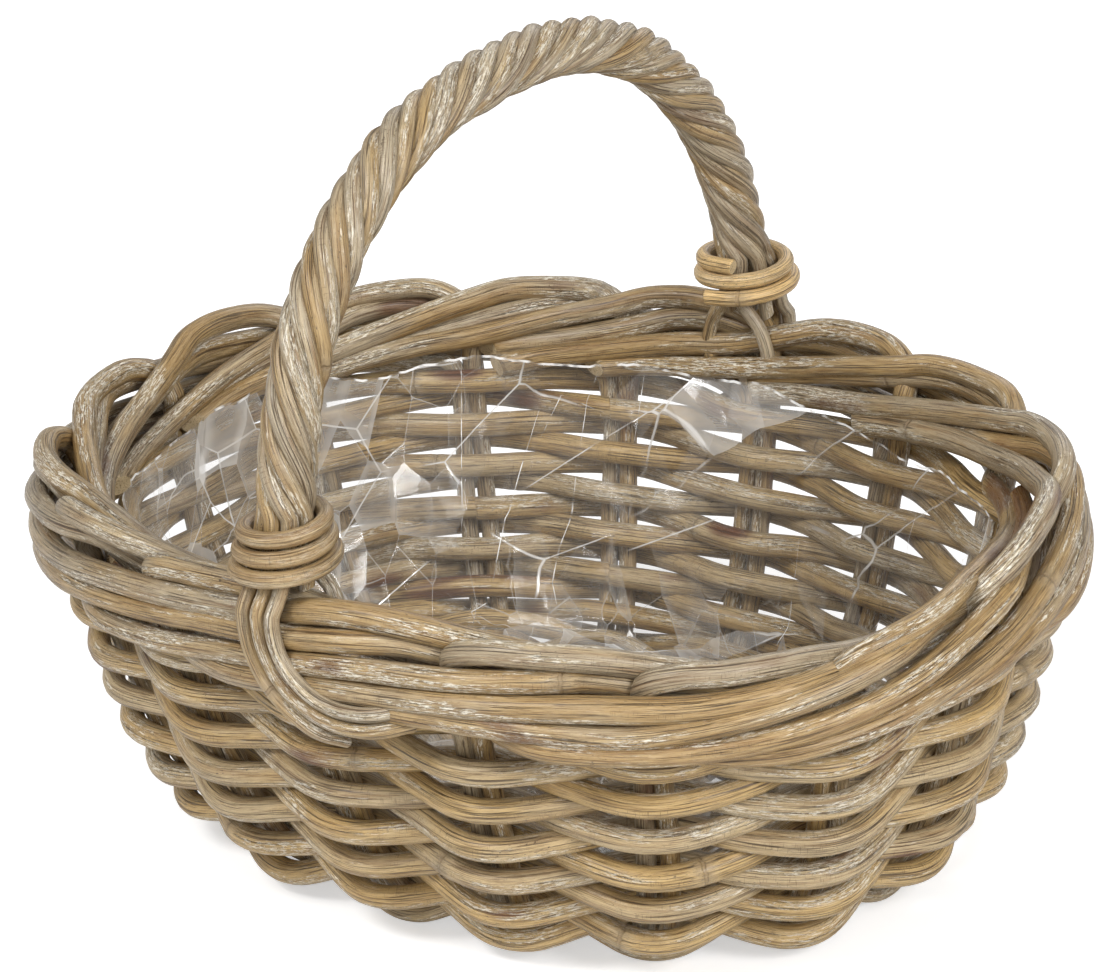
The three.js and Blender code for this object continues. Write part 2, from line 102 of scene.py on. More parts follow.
oval_steps = 2880        # chords of the plan in its table of lengths
walked = [0.0]
for step in range(oval_steps):
    here, there = (oval_point(wall_size[0] / 2, wall_size[1] / 2, math.tau * i / oval_steps)[0]
                   for i in (step, step + 1))
    walked.append(walked[-1] + (there - here).length)
perimeter = walked[-1]


def between(table, wanted):
    """The place of a value in a rising table, in steps and parts of a step."""
    low, high = 0, len(table) - 1
    while high - low > 1:
        middle = (low + high) // 2
        if table[middle] <= wanted:
            low = middle
        else:
            high = middle
    return low + (wanted - table[low]) / (table[high] - table[low])


def angle_at(share):
    return math.tau * between(walked, (share % 1) * perimeter) / oval_steps


def spread_at(height):
    """How far the wall has flared out, 0 at its foot and 1 at its full height."""
    return (max(0, height - edge_height) / wall_rise) ** flare_power


slope_steps = 400
slope_heights, slope_lengths = [edge_height], [0.0]
for step in range(1, slope_steps + 1):
    slope_heights.append(edge_height + 1.5 * wall_rise * (step / slope_steps) ** 2.5)
    outwards = sum(flare) / 2 * (spread_at(slope_heights[-1]) - spread_at(slope_heights[-2]))
    slope_lengths.append(slope_lengths[-1] + math.hypot(outwards, slope_heights[-1] - slope_heights[-2]))


def height_at(length):
    place = between(slope_lengths, length)
    i = int(place)
    return slope_heights[i] + (slope_heights[i + 1] - slope_heights[i]) * (place - i)


def slope_length_at(height):
    return slope_lengths[next(i for i, h in enumerate(slope_heights) if h >= height)]


def wall_point(share, length, out=0.0, along=0.0):
    """Share round the basket, length up the slope, distance out of the wall's middle and along it."""
    angle = angle_at(share)
    on_base = length <= 0
    height = edge_height if on_base else height_at(length)
    spread, inwards = spread_at(height), min(0, length)
    place, normal = oval_point(base_size[0] / 2 + flare[0] * spread + inwards,
                               base_size[1] / 2 + flare[1] * spread + inwards, angle)
    outwards, downwards = 0, 1
    if not on_base:
        below = 1e-5
        rate = (spread - spread_at(height - below)) / below
        lean = math.atan(oval_point(flare[0] * rate, flare[1] * rate, angle)[0].dot(normal))
        outwards, downwards = math.cos(lean), math.sin(lean)
    return place + normal * out * outwards + Vector((-normal.y, normal.x, 0)) * along + Vector(
        (0, 0, height - out * downwards))


def drop_at(share):
    """The rim lies lower towards the front right, where the wall is one row less."""
    return rim_drop * ((1 + math.cos(math.tau * (share - rim_drop_share))) / 2) ** rim_drop_power


line_step = 0.003


def flowing(points):
    """A smooth line through points, with a place about every line_step along it."""
    ends = [points[0] * 2 - points[1], *points, points[-1] * 2 - points[-2]]
    line = []
    for a, b, c, d in zip(ends, ends[1:], ends[2:], ends[3:]):
        t = [0.0]
        for p, q in ((a, b), (b, c), (c, d)):
            t.append(t[-1] + max(1e-6, (q - p).length) ** 0.5)
        count = max(1, round((c - b).length / line_step))
        for k in range(count):
            x = t[1] + (t[2] - t[1]) * k / count
            ab = a.lerp(b, (x - t[0]) / (t[1] - t[0]))
            bc = b.lerp(c, (x - t[1]) / (t[2] - t[1]))
            cd = c.lerp(d, (x - t[2]) / (t[3] - t[2]))
            abc = ab.lerp(bc, (x - t[0]) / (t[2] - t[0]))
            bcd = bc.lerp(cd, (x - t[1]) / (t[3] - t[1]))
            line.append(abc.lerp(bcd, (x - t[1]) / (t[2] - t[1])))
    return [*line, points[-1]]


def wire(tree, kind, sockets=(), **settings):
    """Adds a node with its settings, and joins or sets its inputs, given as (input, value or output)."""
    node = tree.nodes.new(kind)
    for name, value in settings.items():
        setattr(node, name, value)
    for place, value in sockets:
        if isinstance(value, bpy.types.NodeSocket):
            tree.links.new(value, node.inputs[place])
        else:
            node.inputs[place].default_value = value
    return node


def sums(tree, operation, *values):
    return wire(tree, "ShaderNodeMath", enumerate(values), operation=operation).outputs[0]


def vectors(tree, operation, *values):
    return wire(tree, "ShaderNodeVectorMath", enumerate(values), operation=operation).outputs[0]


def ramped(tree, value, low, high, start=0.0, end=1.0):
    """From start to end in a soft curve, while the value goes from low to high."""
    return wire(tree, "ShaderNodeMapRange", ((0, value), (1, low), (2, high), (3, start), (4, end)),
                interpolation_type="SMOOTHSTEP").outputs[0]


def noised(tree, place, scale, detail=2.0):
    return wire(tree, "ShaderNodeTexNoise", (("Vector", place), ("Scale", scale),
                ("Detail", detail))).outputs[0]


def stored(tree, shape, name, value, kind="FLOAT", domain="POINT"):
    """The shape with a value kept on it, as an attribute with this name."""
    return wire(tree, "GeometryNodeStoreNamedAttribute", ((0, shape), ("Name", name), ("Value", value)),
                data_type=kind, domain=domain).outputs[0]


def sockets_for(tree, inputs, outputs):
    for in_out, wanted in (("INPUT", inputs), ("OUTPUT", outputs)):
        for name, kind in wanted:
            tree.interface.new_socket(name, in_out=in_out, socket_type="NodeSocket" + kind)


# Canes: rattan is smooth and nearly round, with a swollen ring where a leaf grew and a fine groove in it.
# The place kept as "cane" is across it in x and y and along it in z, so that the skin lies along the cane.
ring_gap = 0.5           # mean distance between the rings of a cane
swelling, swelling_reach = 0.07, 0.006
groove, groove_reach = 0.05, 0.0012
slant_reach = 0.014      # the slant of a cut end fades out along this
bevel_height, bevel_scale = 0.0005, 0.86
cane_step, cane_sides = 0.0022, 16


def ring_distance(tree, lay):
    """How far along the cane a place is from its nearest ring."""
    cell = sums(tree, "FLOOR", sums(tree, "DIVIDE", lay, ring_gap))
    chance = wire(tree, "ShaderNodeTexWhiteNoise", (("W", cell),),
                  noise_dimensions="1D").outputs["Value"]
    middle = sums(tree, "ADD", cell, sums(tree, "MULTIPLY_ADD", chance, 0.6, 0.2))
    return sums(tree, "ABSOLUTE", sums(tree, "SUBTRACT", lay, sums(tree, "MULTIPLY", middle, ring_gap)))


def cane_tree():
    """A line becomes a round cane with swollen rings and bevelled, slanting cut ends."""
    tree = bpy.data.node_groups.new("Cane", "GeometryNodeTree")
    sockets_for(tree, (("Line", "Geometry"), ("Unevenness", "Float"), ("Start Slant", "Float"),
                       ("End Slant", "Float"), ("Lay", "Float"), ("Tone", "Float"), ("Upright", "Bool"),
                       ("Finish", "Material")), (("Cane", "Geometry"),))
    given = wire(tree, "NodeGroupInput").outputs

    def kept(name, kind="FLOAT"):
        return wire(tree, "GeometryNodeInputNamedAttribute", (("Name", name),),
                    data_type=kind).outputs["Attribute"]

    line = wire(tree, "GeometryNodeMeshToCurve", ((0, given["Line"]),)).outputs[0]
    line = wire(tree, "GeometryNodeResampleCurve", (("Curve", line), ("Length", cane_step)),
                mode="LENGTH").outputs[0]
    upright = wire(tree, "GeometryNodeSetCurveNormal", ((0, line),), mode="Z_UP").outputs[0]
    line = wire(tree, "GeometryNodeSwitch", (("Switch", given["Upright"]), ("False", line),
                ("True", upright)), input_type="GEOMETRY").outputs[0]
    run = wire(tree, "GeometryNodeSplineParameter").outputs["Length"]
    whole = wire(tree, "GeometryNodeSplineLength").outputs["Length"]
    lay = sums(tree, "ADD", run, given["Lay"])
    ring = ring_distance(tree, lay)
    slow = wire(tree, "ShaderNodeTexNoise", (("W", lay), ("Scale", 28.0), ("Detail", 1.0)),
                noise_dimensions="1D").outputs[0]
    swell = sums(tree, "MULTIPLY_ADD", sums(tree, "SUBTRACT", slow, 0.5), given["Unevenness"], 1.0)
    swell = sums(tree, "ADD", swell, ramped(tree, ring, 0.0, swelling_reach, swelling, 0.0))
    swell = sums(tree, "SUBTRACT", swell, ramped(tree, ring, 0.0, groove_reach, groove, 0.0))
    size = sums(tree, "MULTIPLY", kept("route_thick"), swell)
    way = wire(tree, "GeometryNodeInputTangent").outputs[0]
    line = stored(tree, line, "route_lay", lay)
    line = stored(tree, line, "route_run", run)
    line = stored(tree, line, "route_left", sums(tree, "SUBTRACT", whole, run))
    line = stored(tree, line, "route_size", size)
    line = stored(tree, line, "route_way", way, "FLOAT_VECTOR")
    section = wire(tree, "GeometryNodeCurvePrimitiveCircle", (("Resolution", cane_sides),
                                                              ("Radius", 1.0))).outputs[0]
    place = wire(tree, "GeometryNodeInputPosition").outputs[0]
    section = stored(tree, section, "route_across", place, "FLOAT_VECTOR")
    body = wire(tree, "GeometryNodeCurveToMesh", (("Curve", line), ("Profile Curve", section),
                ("Scale", kept("route_size")), ("Fill Caps", True))).outputs[0]
    across = wire(tree, "ShaderNodeSeparateXYZ", ((0, kept("route_across", "FLOAT_VECTOR")),)).outputs
    sized = [sums(tree, "MULTIPLY", across[i], kept("route_size")) for i in (0, 1)]
    spot = wire(tree, "ShaderNodeCombineXYZ", ((0, sized[0]), (1, sized[1]),
                (2, kept("route_lay")))).outputs[0]
    body = stored(tree, body, "cane", spot, "FLOAT_VECTOR")
    lumps = noised(tree, vectors(tree, "MULTIPLY", spot, (230, 230, 60)), 1.0, 1.0)
    lift = sums(tree, "MULTIPLY", sums(tree, "SUBTRACT", lumps, 0.5), sums(
        tree, "MULTIPLY", kept("route_size"), given["Unevenness"]))
    normal = wire(tree, "GeometryNodeInputNormal").outputs[0]
    offset = wire(tree, "ShaderNodeVectorMath", ((0, normal), ("Scale", lift)),
                  operation="SCALE").outputs[0]
    start = ramped(tree, kept("route_run"), 0.0, slant_reach, 1.0, 0.0)
    start = sums(tree, "MULTIPLY", start, given["Start Slant"])
    end = ramped(tree, kept("route_left"), 0.0, slant_reach, 1.0, 0.0)
    end = sums(tree, "MULTIPLY", end, given["End Slant"])
    shear = wire(tree, "ShaderNodeVectorMath", ((0, kept("route_way", "FLOAT_VECTOR")), ("Scale", sums(
        tree, "MULTIPLY", sums(tree, "ADD", start, end), sized[0]))), operation="SCALE").outputs[0]
    offset = vectors(tree, "ADD", offset, shear)
    body = wire(tree, "GeometryNodeSetPosition", ((0, body), ("Offset", offset))).outputs[0]
    corners = wire(tree, "GeometryNodeInputMeshFaceNeighbors").outputs["Vertex Count"]
    is_cut = wire(tree, "FunctionNodeCompare", ((2, corners), (3, 4)), data_type="INT",
                  operation="GREATER_THAN").outputs[0]
    raised = wire(tree, "GeometryNodeExtrudeMesh", ((0, body), ("Selection", is_cut),
                  ("Offset Scale", bevel_height), ("Individual", True)), mode="FACES").outputs
    top = raised["Top"]
    body = stored(tree, raised["Mesh"], "cut", top, domain="FACE")
    body = wire(tree, "GeometryNodeScaleElements", ((0, body), ("Selection", top),
                ("Scale", bevel_scale)), domain="FACE").outputs[0]
    body = stored(tree, body, "tone", given["Tone"])
    flat = wire(tree, "FunctionNodeBooleanMath", ((0, top),), operation="NOT").outputs[0]
    body = wire(tree, "GeometryNodeSetShadeSmooth", ((0, body), ("Shade Smooth", flat))).outputs[0]
    body = wire(tree, "GeometryNodeRemoveAttribute", ((0, body), ("Name", "route_*")),
                pattern_mode="WILDCARD").outputs[0]
    body = wire(tree, "GeometryNodeRealizeInstances", ((0, body),)).outputs[0]
    body = wire(tree, "GeometryNodeSetMaterial", ((0, body), ("Material", given["Finish"]))).outputs[0]
    wire(tree, "NodeGroupOutput", ((0, body),))
    return tree


cane_maker = cane_tree()
cane_inputs = {item.name: item.identifier for item in cane_maker.interface.items_tree
               if item.in_out == "INPUT"}


def lay_cane(node, line, thickness, finish, luck, tone=0.5, unevenness=0.09, slants=(0.5, 0.5),
             upright=False):
    """Makes one cane along a line of points, in place of its CAD node. thickness is one value or a list
    with one for each point."""
    outline = bpy.data.meshes.new(node + "_line")
    outline.from_pydata(line, [(i, i + 1) for i in range(len(line) - 1)], [])
    thick = outline.attributes.new("route_thick", "FLOAT", "POINT")
    for i in range(len(line)):
        thick.data[i].value = (thickness[i] if isinstance(thickness, list) else thickness) / 2
    draft = placed(node + "_draft", outline)
    maker = draft.modifiers.new("Cane", "NODES")
    maker.node_group = cane_maker
    for name, value in (("Unevenness", unevenness), ("Start Slant", slants[0]), ("End Slant", slants[1]),
                        ("Lay", luck.uniform(1, 60)), ("Tone", tone), ("Upright", upright),
                        ("Finish", finish)):
        maker[cane_inputs[name]] = value
    ready = draft.evaluated_get(bpy.context.evaluated_depsgraph_get())
    body = bpy.data.meshes.new_from_object(ready)
    bpy.data.objects.remove(draft)
    bpy.data.meshes.remove(outline)
    piece = placed(node + "_cane", body)
    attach(piece, "root")
    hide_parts(node)


def paint(red, green, blue):
    """A colour from its screen values of 0 to 255."""
    return tuple(((c / 255 + 0.055) / 1.055) ** 2.4 if c > 10 else c / 255 / 12.92
                 for c in (red, green, blue)) + (1,)


# The rattan's skin: streaks, fibres and specks, cross checks, chalk, scorch marks, mildew, rings and ends.
brown_streak, dark_fibre, fine_fibre = paint(132, 98, 58), paint(56, 40, 26), paint(98, 71, 40)
dark_speck, cross_check, chalk_white = paint(96, 70, 42), paint(92, 68, 40), paint(242, 234, 216)
scorched, mildew = paint(104, 62, 32), paint(62, 46, 32)
ring_halo, ring_stain = paint(186, 168, 138), paint(74, 52, 32)
pith_pale, pith_dark = paint(222, 200, 158), paint(170, 138, 96)


def rattan_skin():
    """The colour, roughness and relief of weathered cane, all laid along the cane."""
    tree = bpy.data.node_groups.new("Rattan Skin", "ShaderNodeTree")
    sockets_for(tree, (("Cane", "Vector"), ("Tone", "Float"), ("Cut", "Float"), ("Warm", "Color"),
                       ("Grey", "Color"), ("Wash", "Color"), ("Chalk", "Float"), ("Scorch", "Float"),
                       ("Fibre", "Float")),
                (("Color", "Color"), ("Roughness", "Float"), ("Height", "Float")))
    given = wire(tree, "NodeGroupInput").outputs

    def grain(across, along, detail=2.0, roughness=0.5, shift=0.0):
        """Noise as fine as this across the cane and along it."""
        place = vectors(tree, "MULTIPLY_ADD", given["Cane"], (across, across, along), (shift,) * 3)
        return wire(tree, "ShaderNodeTexNoise", (("Vector", place), ("Scale", 1.0), ("Detail", detail),
                    ("Roughness", roughness))).outputs[0]

    def blend(amount, below, above):
        return wire(tree, "ShaderNodeMix", ((0, amount), (6, below), (7, above)),
                    data_type="RGBA").outputs[2]

    def times(*values):
        return sums(tree, "MULTIPLY", *values)

    # Weathering: each cane leans to a warm or a grey tone, and where it is worn it takes the pale wash
    toned = sums(tree, "SUBTRACT", given["Tone"], 0.5)
    leaning = sums(tree, "MULTIPLY_ADD", toned, 0.4, grain(60, 14, 3, 0.6))
    color = blend(ramped(tree, leaning, 0.38, 0.62), given["Warm"], given["Grey"])
    worn = ramped(tree, grain(150, 15, 4, 0.65, 5.2), 0.45, 0.60, 0.2, 1.0)
    broad = grain(420, 18, 4, 0.7, 7.1)
    color = blend(ramped(tree, broad, 0.36, 0.5, 0.5, 0.0), color, brown_streak)
    color = blend(times(ramped(tree, broad, 0.5, 0.66, 0.0, 0.7), worn), color, given["Wash"])

    # Fibres along the cane, specks, and small checks across it
    lines = grain(2400, 24, 3, 0.6, 3.3)
    dark = times(ramped(tree, lines, 0.56, 0.64), given["Fibre"])
    color = blend(times(dark, 0.9), color, dark_fibre)
    fine = grain(4200, 90, 3, 0.7, 9.4)
    color = blend(times(ramped(tree, fine, 0.5, 0.62, 0.0, 0.7), worn), color, given["Wash"])
    color = blend(ramped(tree, fine, 0.38, 0.48, 0.75, 0.0), color, fine_fibre)
    specks = grain(2900, 900, 3, 0.75, 12.3)
    color = blend(times(ramped(tree, specks, 0.35, 0.46, 0.6, 0.0), worn), color, dark_speck)
    checks = times(ramped(tree, grain(300, 2600, 1, 0.5, 6.6), 0.60, 0.68),
                   ramped(tree, grain(240, 30, 1, 0.5, 8.8), 0.5, 0.64))
    color = blend(times(checks, 0.45), color, cross_check)

    # Chalky flakes on the worn places, scorched patches and mildew
    flakes = ramped(tree, grain(2000, 300, 4, 0.75, 1.7), 0.50, 0.56)
    chalk = times(flakes, times(ramped(tree, worn, 0.6, 0.95), given["Chalk"]))
    color = blend(chalk, color, chalk_white)
    burnt = sums(tree, "MULTIPLY_ADD", lines, 0.14, grain(55, 15, 2, 0.5, 11.8))
    color = blend(times(ramped(tree, burnt, 0.69, 0.79), given["Scorch"]), color, scorched)
    mould = times(ramped(tree, grain(1900, 700, 1, 0.5, 4.4), 0.66, 0.74),
                  ramped(tree, grain(160, 22, 2, 0.5, 2.6), 0.5, 0.62))
    color = blend(times(mould, 0.8), color, mildew)

    # Rings with a pale halo, and the porous pith of the cut ends
    lay = wire(tree, "ShaderNodeSeparateXYZ", ((0, given["Cane"]),)).outputs[2]
    ring = ring_distance(tree, sums(tree, "MULTIPLY_ADD", grain(420, 0, 1), 0.0016, lay))
    scar = ramped(tree, ring, 0.0003, 0.0009, 1.0, 0.0)
    color = blend(ramped(tree, ring, 0.001, 0.007, 0.35, 0.0), color, ring_halo)
    stain = times(ramped(tree, ring, 0.0, 0.004, 1.0, 0.0), ramped(tree, fine, 0.45, 0.6))
    color = blend(sums(tree, "MAXIMUM", times(scar, 0.35), times(stain, 0.5)), color, ring_stain)
    pores = noised(tree, wire(tree, "ShaderNodeTexCoord").outputs["Object"], 1900.0)
    pith = blend(ramped(tree, pores, 0.5, 0.68), pith_pale, pith_dark)
    color = blend(given["Cut"], color, pith)

    # Worn canes and cut ends are duller, and the fibres and rings are sunk in
    rough = sums(tree, "ADD", sums(tree, "MULTIPLY_ADD", worn, 0.24, 0.22),
                 times(sums(tree, "MAXIMUM", dark, given["Cut"]), 0.22))
    grit = sums(tree, "MULTIPLY_ADD", specks, 0.5, times(chalk, 0.3))
    relief = sums(tree, "SUBTRACT", sums(tree, "MULTIPLY_ADD", fine, 0.5, grit),
                  sums(tree, "MAXIMUM", dark, scar))
    wire(tree, "NodeGroupOutput", ((0, color), (1, rough), (2, relief)))
    return tree


skin = rattan_skin()
wash = paint(212, 190, 150)
relief_depth = 0.00045


def bare_material(name):
    finish = bpy.data.materials.new(name)
    finish.use_nodes = True
    finish.node_tree.nodes.clear()
    return finish


def surfaced(tree, *sockets):
    """Ends a material in one surface."""
    surface = wire(tree, "ShaderNodeBsdfPrincipled", sockets)
    wire(tree, "ShaderNodeOutputMaterial", ((0, surface.outputs[0]),))


def rattan(name, warm, grey, chalk, scorch, fibre=0.9):
    finish = bare_material(name)
    tree = finish.node_tree
    look = wire(tree, "ShaderNodeGroup", node_tree=skin)
    for socket, kind in (("Cane", "Vector"), ("Tone", "Fac"), ("Cut", "Fac")):
        kept = wire(tree, "ShaderNodeAttribute", attribute_name=socket.lower()).outputs[kind]
        tree.links.new(kept, look.inputs[socket])
    for socket, value in (("Warm", warm), ("Grey", grey), ("Wash", wash), ("Chalk", chalk),
                          ("Scorch", scorch), ("Fibre", fibre)):
        look.inputs[socket].default_value = value
    bump = wire(tree, "ShaderNodeBump", (("Strength", 1.0), ("Distance", relief_depth),
                ("Height", look.outputs["Height"])))
    surfaced(tree, ("Base Color", look.outputs["Color"]), ("Roughness", look.outputs["Roughness"]),
             ("Normal", bump.outputs[0]), ("IOR", 1.48), ("Coat Weight", 0.25), ("Coat Roughness", 0.28))
    return finish


# Rows: each goes once round with its seam at a stake pair, but for the last, which lies round the back.
# The wall's rows aren't laid quite evenly.
row_stretch, rim_tightening = 1.036, 0.022
seam_gap = 0.0003
out_least, out_most = -0.0002, 0.0006
up_spread, up_spread_between = 0.0006, 0.0004


def risen(share, length):
    """The rows are packed a little looser than their pitch, least where the rim is low."""
    return length * (row_stretch - rim_tightening * drop_at(share) / rim_drop) if length > 0 else length


def ring_length(length):
    """Length round the wall, at a length up its slope."""
    spread = spread_at(height_at(length)) if length > 0 else 0
    return perimeter * (base_size[1] / 2 + flare[1] * spread + min(0, length)) / (wall_size[1] / 2)


wall_finish = rattan("weaver_cane", paint(194, 162, 106), paint(188, 166, 128), 0.8, 1.0)
seam = seam_gap / perimeter
for row in range(base_rows + wall_rows + 1):
    luck = random.Random(100 + row)
    length = (row - base_rows + 0.5) * row_pitch
    on_base, whole = row < base_rows, row < base_rows + wall_rows
    flat = flat_reach / ring_length(length)
    first = 2 * ((3 * row) % (stake_pairs // 2)) + (row + 1) % 2 if whole else back_row[0]
    pairs = stake_pairs if whole else back_row[1] - back_row[0]
    loose = 0.0 if on_base else 1.0
    route = []
    for i in range(pairs + 1):
        station = first + i
        side = 1 if (row + station) % 2 == 0 else -1
        out = side * (weave_out + loose * luck.uniform(out_least, out_most))
        up = risen(station / stake_pairs, length + loose * luck.gauss(0, up_spread))
        if i > 0:
            share = (station - 0.5) / stake_pairs
            up_between = risen(share, length + loose * luck.gauss(0, up_spread_between))
            route.append(wall_point(share, up_between))
            route.append(wall_point(station / stake_pairs - flat, up, out))
        if i in (0, pairs):
            route.append(wall_point(station / stake_pairs + (seam if i == 0 else -seam), up, out))
        if i < pairs:
            route.append(wall_point(station / stake_pairs + flat, up, out))
    name = f"base_row_{row + 1}" if on_base else f"wall_row_{row - base_rows + 1:02d}"
    thickness = base_weaver_thickness
    if row > base_rows:
        thickness = weaver_thickness * luck.uniform(0.95, 1.04)
    lay_cane(name, flowing(route), thickness, wall_finish, luck,
             tone=luck.uniform(0.1, 0.9), unevenness=0.02 if on_base else 0.1)

# Stake rods and border: each rod runs up one wall, under the base and up the other wall, and both its
# ends are laid down along the rim as the border. One rod of each pair leaves low on the outside and climbs
# over the rim. The other rises behind it, hooks over the crest and dives inside behind the next hook.
rod_thickness = 0.0068
border_thickness = 0.0087
pair_offset = 0.00365
under_base, base_thinning = 0.012, 0.84
stouter_from, stouter_within = 0.095, 0.012
stake_rows = (-1.4, 0.4, 1.7, 4.2, 7.6)    # the places of a stake on the wall, in row pitches
leave_low, leave_high = -0.0015, 0.0025
border_spread = 0.0078
border_bottom = 0.110
border_side = 0.0234
roll_radius = 0.0061
wander_out, wander_up = 0.0014, 0.0030
scallop_height = 0.0016
mat_height, mat_weave = 0.0108, 0.0073
mat_gap, mat_level = 0.0036, 0.0024
mat_inset = base_rows * row_pitch + mat_gap
clearance = 0.0003


def rim_point(share, out, along, height):
    """Share round the basket, distance out of the middle of the border, distance along it and height.
    The upper part of the border rises and dips once in each stake spacing."""
    share += along / perimeter
    place, normal = oval_point(wall_size[0] / 2 + border_spread, wall_size[1] / 2 + border_spread,
                               angle_at(share))
    upper = min(1, max(0, (height - border_bottom) / (border_side + roll_radius)))
    scallop = abs(math.sin(math.pi * share * stake_pairs)) - 1
    height += scallop_height * upper * scallop - drop_at(share)
    return place + normal * out + Vector((0, 0, height))


# Each end's way along the border: stake spacings along it, distance out of its middle and height in it
climbing = ((0.13, -0.0010, -0.0012), (0.5, 0.0066, 0.0000), (1.0, 0.0075, 0.0026), (1.5, 0.0077, 0.0062),
            (2.0, 0.0075, 0.0104), (2.5, 0.0070, 0.0148), (3.0, 0.0060, 0.0192), (3.4, 0.0042, 0.0222),
            (3.66, -0.0008, 0.0226), (3.95, -0.0062, 0.0196), (4.35, -0.0098, 0.0150),
            (4.9, -0.0106, 0.0095))
hooking = ((0.0, -0.0045, 0.0150), (0.03, -0.0005, 0.0235), (0.2, 0.0028, 0.0287), (0.5, 0.0022, 0.0298),
           (0.8, -0.0010, 0.0294), (1.02, -0.0056, 0.0274), (1.35, -0.0100, 0.0226),
           (1.8, -0.0130, 0.0174), (2.3, -0.0146, 0.0125), (2.85, -0.0152, 0.0078), (3.2, -0.0154, 0.0048))


def rod_end(station, side, luck):
    """From the base up the wall and round the border. side is 1 for the rod further round its pair,
    which leaves the wall first and runs below the other one."""
    share, spacing = station / stake_pairs, perimeter / stake_pairs
    along = side * (pair_offset + luck.uniform(0, 0.0004))
    points = [wall_point(share, rows * row_pitch, 0, along) for rows in stake_rows]
    leave = border_bottom + (leave_low if side > 0 else leave_high) - drop_at(share)
    points.append(wall_point(share, slope_length_at(leave), 0, along))
    wander = luck.uniform(0, 100)
    early, late = luck.uniform(-0.07, 0.09), luck.uniform(0.88, 1.06)
    for run, out, height in climbing if side > 0 else hooking:
        if run > 0.3:
            run, out = run * late + early, out + wander_out * noise.noise(Vector((wander, run, 5)))
            height += wander_up * noise.noise(Vector((wander, run * 0.8, 0)))
        points.append(rim_point(share, out, side * pair_offset + run * spacing, border_bottom + height))
    return points


def mat_place(station):
    return oval_point(base_size[0] / 2 - mat_inset, base_size[1] / 2 - mat_inset,
                      angle_at(station / stake_pairs))[0]


cross_pairs, long_pairs = (2, 3, 4, 5, 6), (0, 1, 15)
crossings = sorted(mat_place(station).x for station in cross_pairs)
cross_width = pair_offset + mat_level


def woven_route(y, parity, half_length, low):
    """Lengthwise across the base, over one cross pair and under the next."""
    route = []
    for i, x in enumerate(crossings):
        height = mat_height + mat_weave if (i + parity) % 2 == 0 else low
        if abs(x) - cross_width < half_length:
            route += [Vector((min(half_length, max(-half_length, edge)), y, height))
                      for edge in (x - cross_width, x + cross_width)]
    if abs(route[0].x) < half_length - 0.001:
        route = [Vector((-half_length, y, route[0].z)), *route, Vector((half_length, y, route[-1].z))]
    return route


def rod_thicknesses(line, luck):
    """A rod is thinner under the base, and stouter where it shows in the border."""
    stouter = border_thickness * luck.uniform(0.9, 1.08) - rod_thickness
    return [rod_thickness * (base_thinning if p.z < under_base else 1)
            + stouter * min(1, max(0, (p.z - stouter_from) / stouter_within)) for p in line]


rod_finish = rattan("rod_cane", paint(170, 140, 92), paint(166, 150, 124), 0.95, 0.7)
for pairs, kind in ((cross_pairs, "cross"), (long_pairs, "long")):
    for pair, station in enumerate(pairs):
        for side in (1, -1):
            letter = "a" if side > 0 else "b"
            luck = random.Random(f"{kind} {pair} {side}")
            if kind == "cross":
                far = mat_place(station)
                x = far.x - side * pair_offset
                middle = [Vector((x, y, mat_height)) for y in (far.y - row_pitch, row_pitch - far.y)]
                other = stake_pairs - station
            else:
                right = mat_place(station)
                middle = woven_route(right.y + side * pair_offset, 0 if station == 0 else 1,
                                     right.x - row_pitch, mat_height - mat_weave)[::-1]
                other = (stake_pairs // 2 - station) % stake_pairs
            route = [*rod_end(station, side, luck)[::-1], *middle, *rod_end(other, -side, luck)]
            line = flowing(route)
            tone, slants = luck.uniform(0, 1), (luck.uniform(0.6, 1.5), luck.uniform(0.6, 1.5))
            lay_cane(f"{kind}_rod_{pair + 1}{letter}", line, rod_thicknesses(line, luck), rod_finish,
                     luck, tone=tone, slants=slants, upright=True)

# Base fillers: lengthwise canes woven over and under the cross pairs to close the base.
filler_thickness = 0.0058
filler_foot = 0.0035
filler_pitch = 0.0073
base_finish = rattan("base_cane", paint(170, 140, 94), paint(150, 132, 104), 0.5, 0.3)
long_y = mat_place(1).y
filler_places = [(pair_offset + i * (long_y - 2 * pair_offset) / 3, i) for i in (1, 2)]
filler_places += [(long_y + pair_offset + i * filler_pitch, i + 1) for i in (1, 2, 3)]
semi = (base_size[0] / 2 - mat_inset, base_size[1] / 2 - mat_inset)
for i, (y, parity) in enumerate(filler_places):
    reach = (1 - ((y + filler_thickness / 2) / semi[1]) ** oval_power) ** (1 / oval_power)
    half_length = semi[0] * reach - filler_thickness / 2 - clearance
    for side, letter in ((1, "a"), (-1, "b")):
        luck = random.Random(f"filler {i} {side}")
        line = flowing(woven_route(side * y, parity, half_length, filler_foot))
        lay_cane(f"base_filler_{i + 1}{letter}", line, filler_thickness, base_finish, luck,
                 tone=luck.uniform(0.1, 0.9), upright=True, slants=(0, 0), unevenness=0.03)

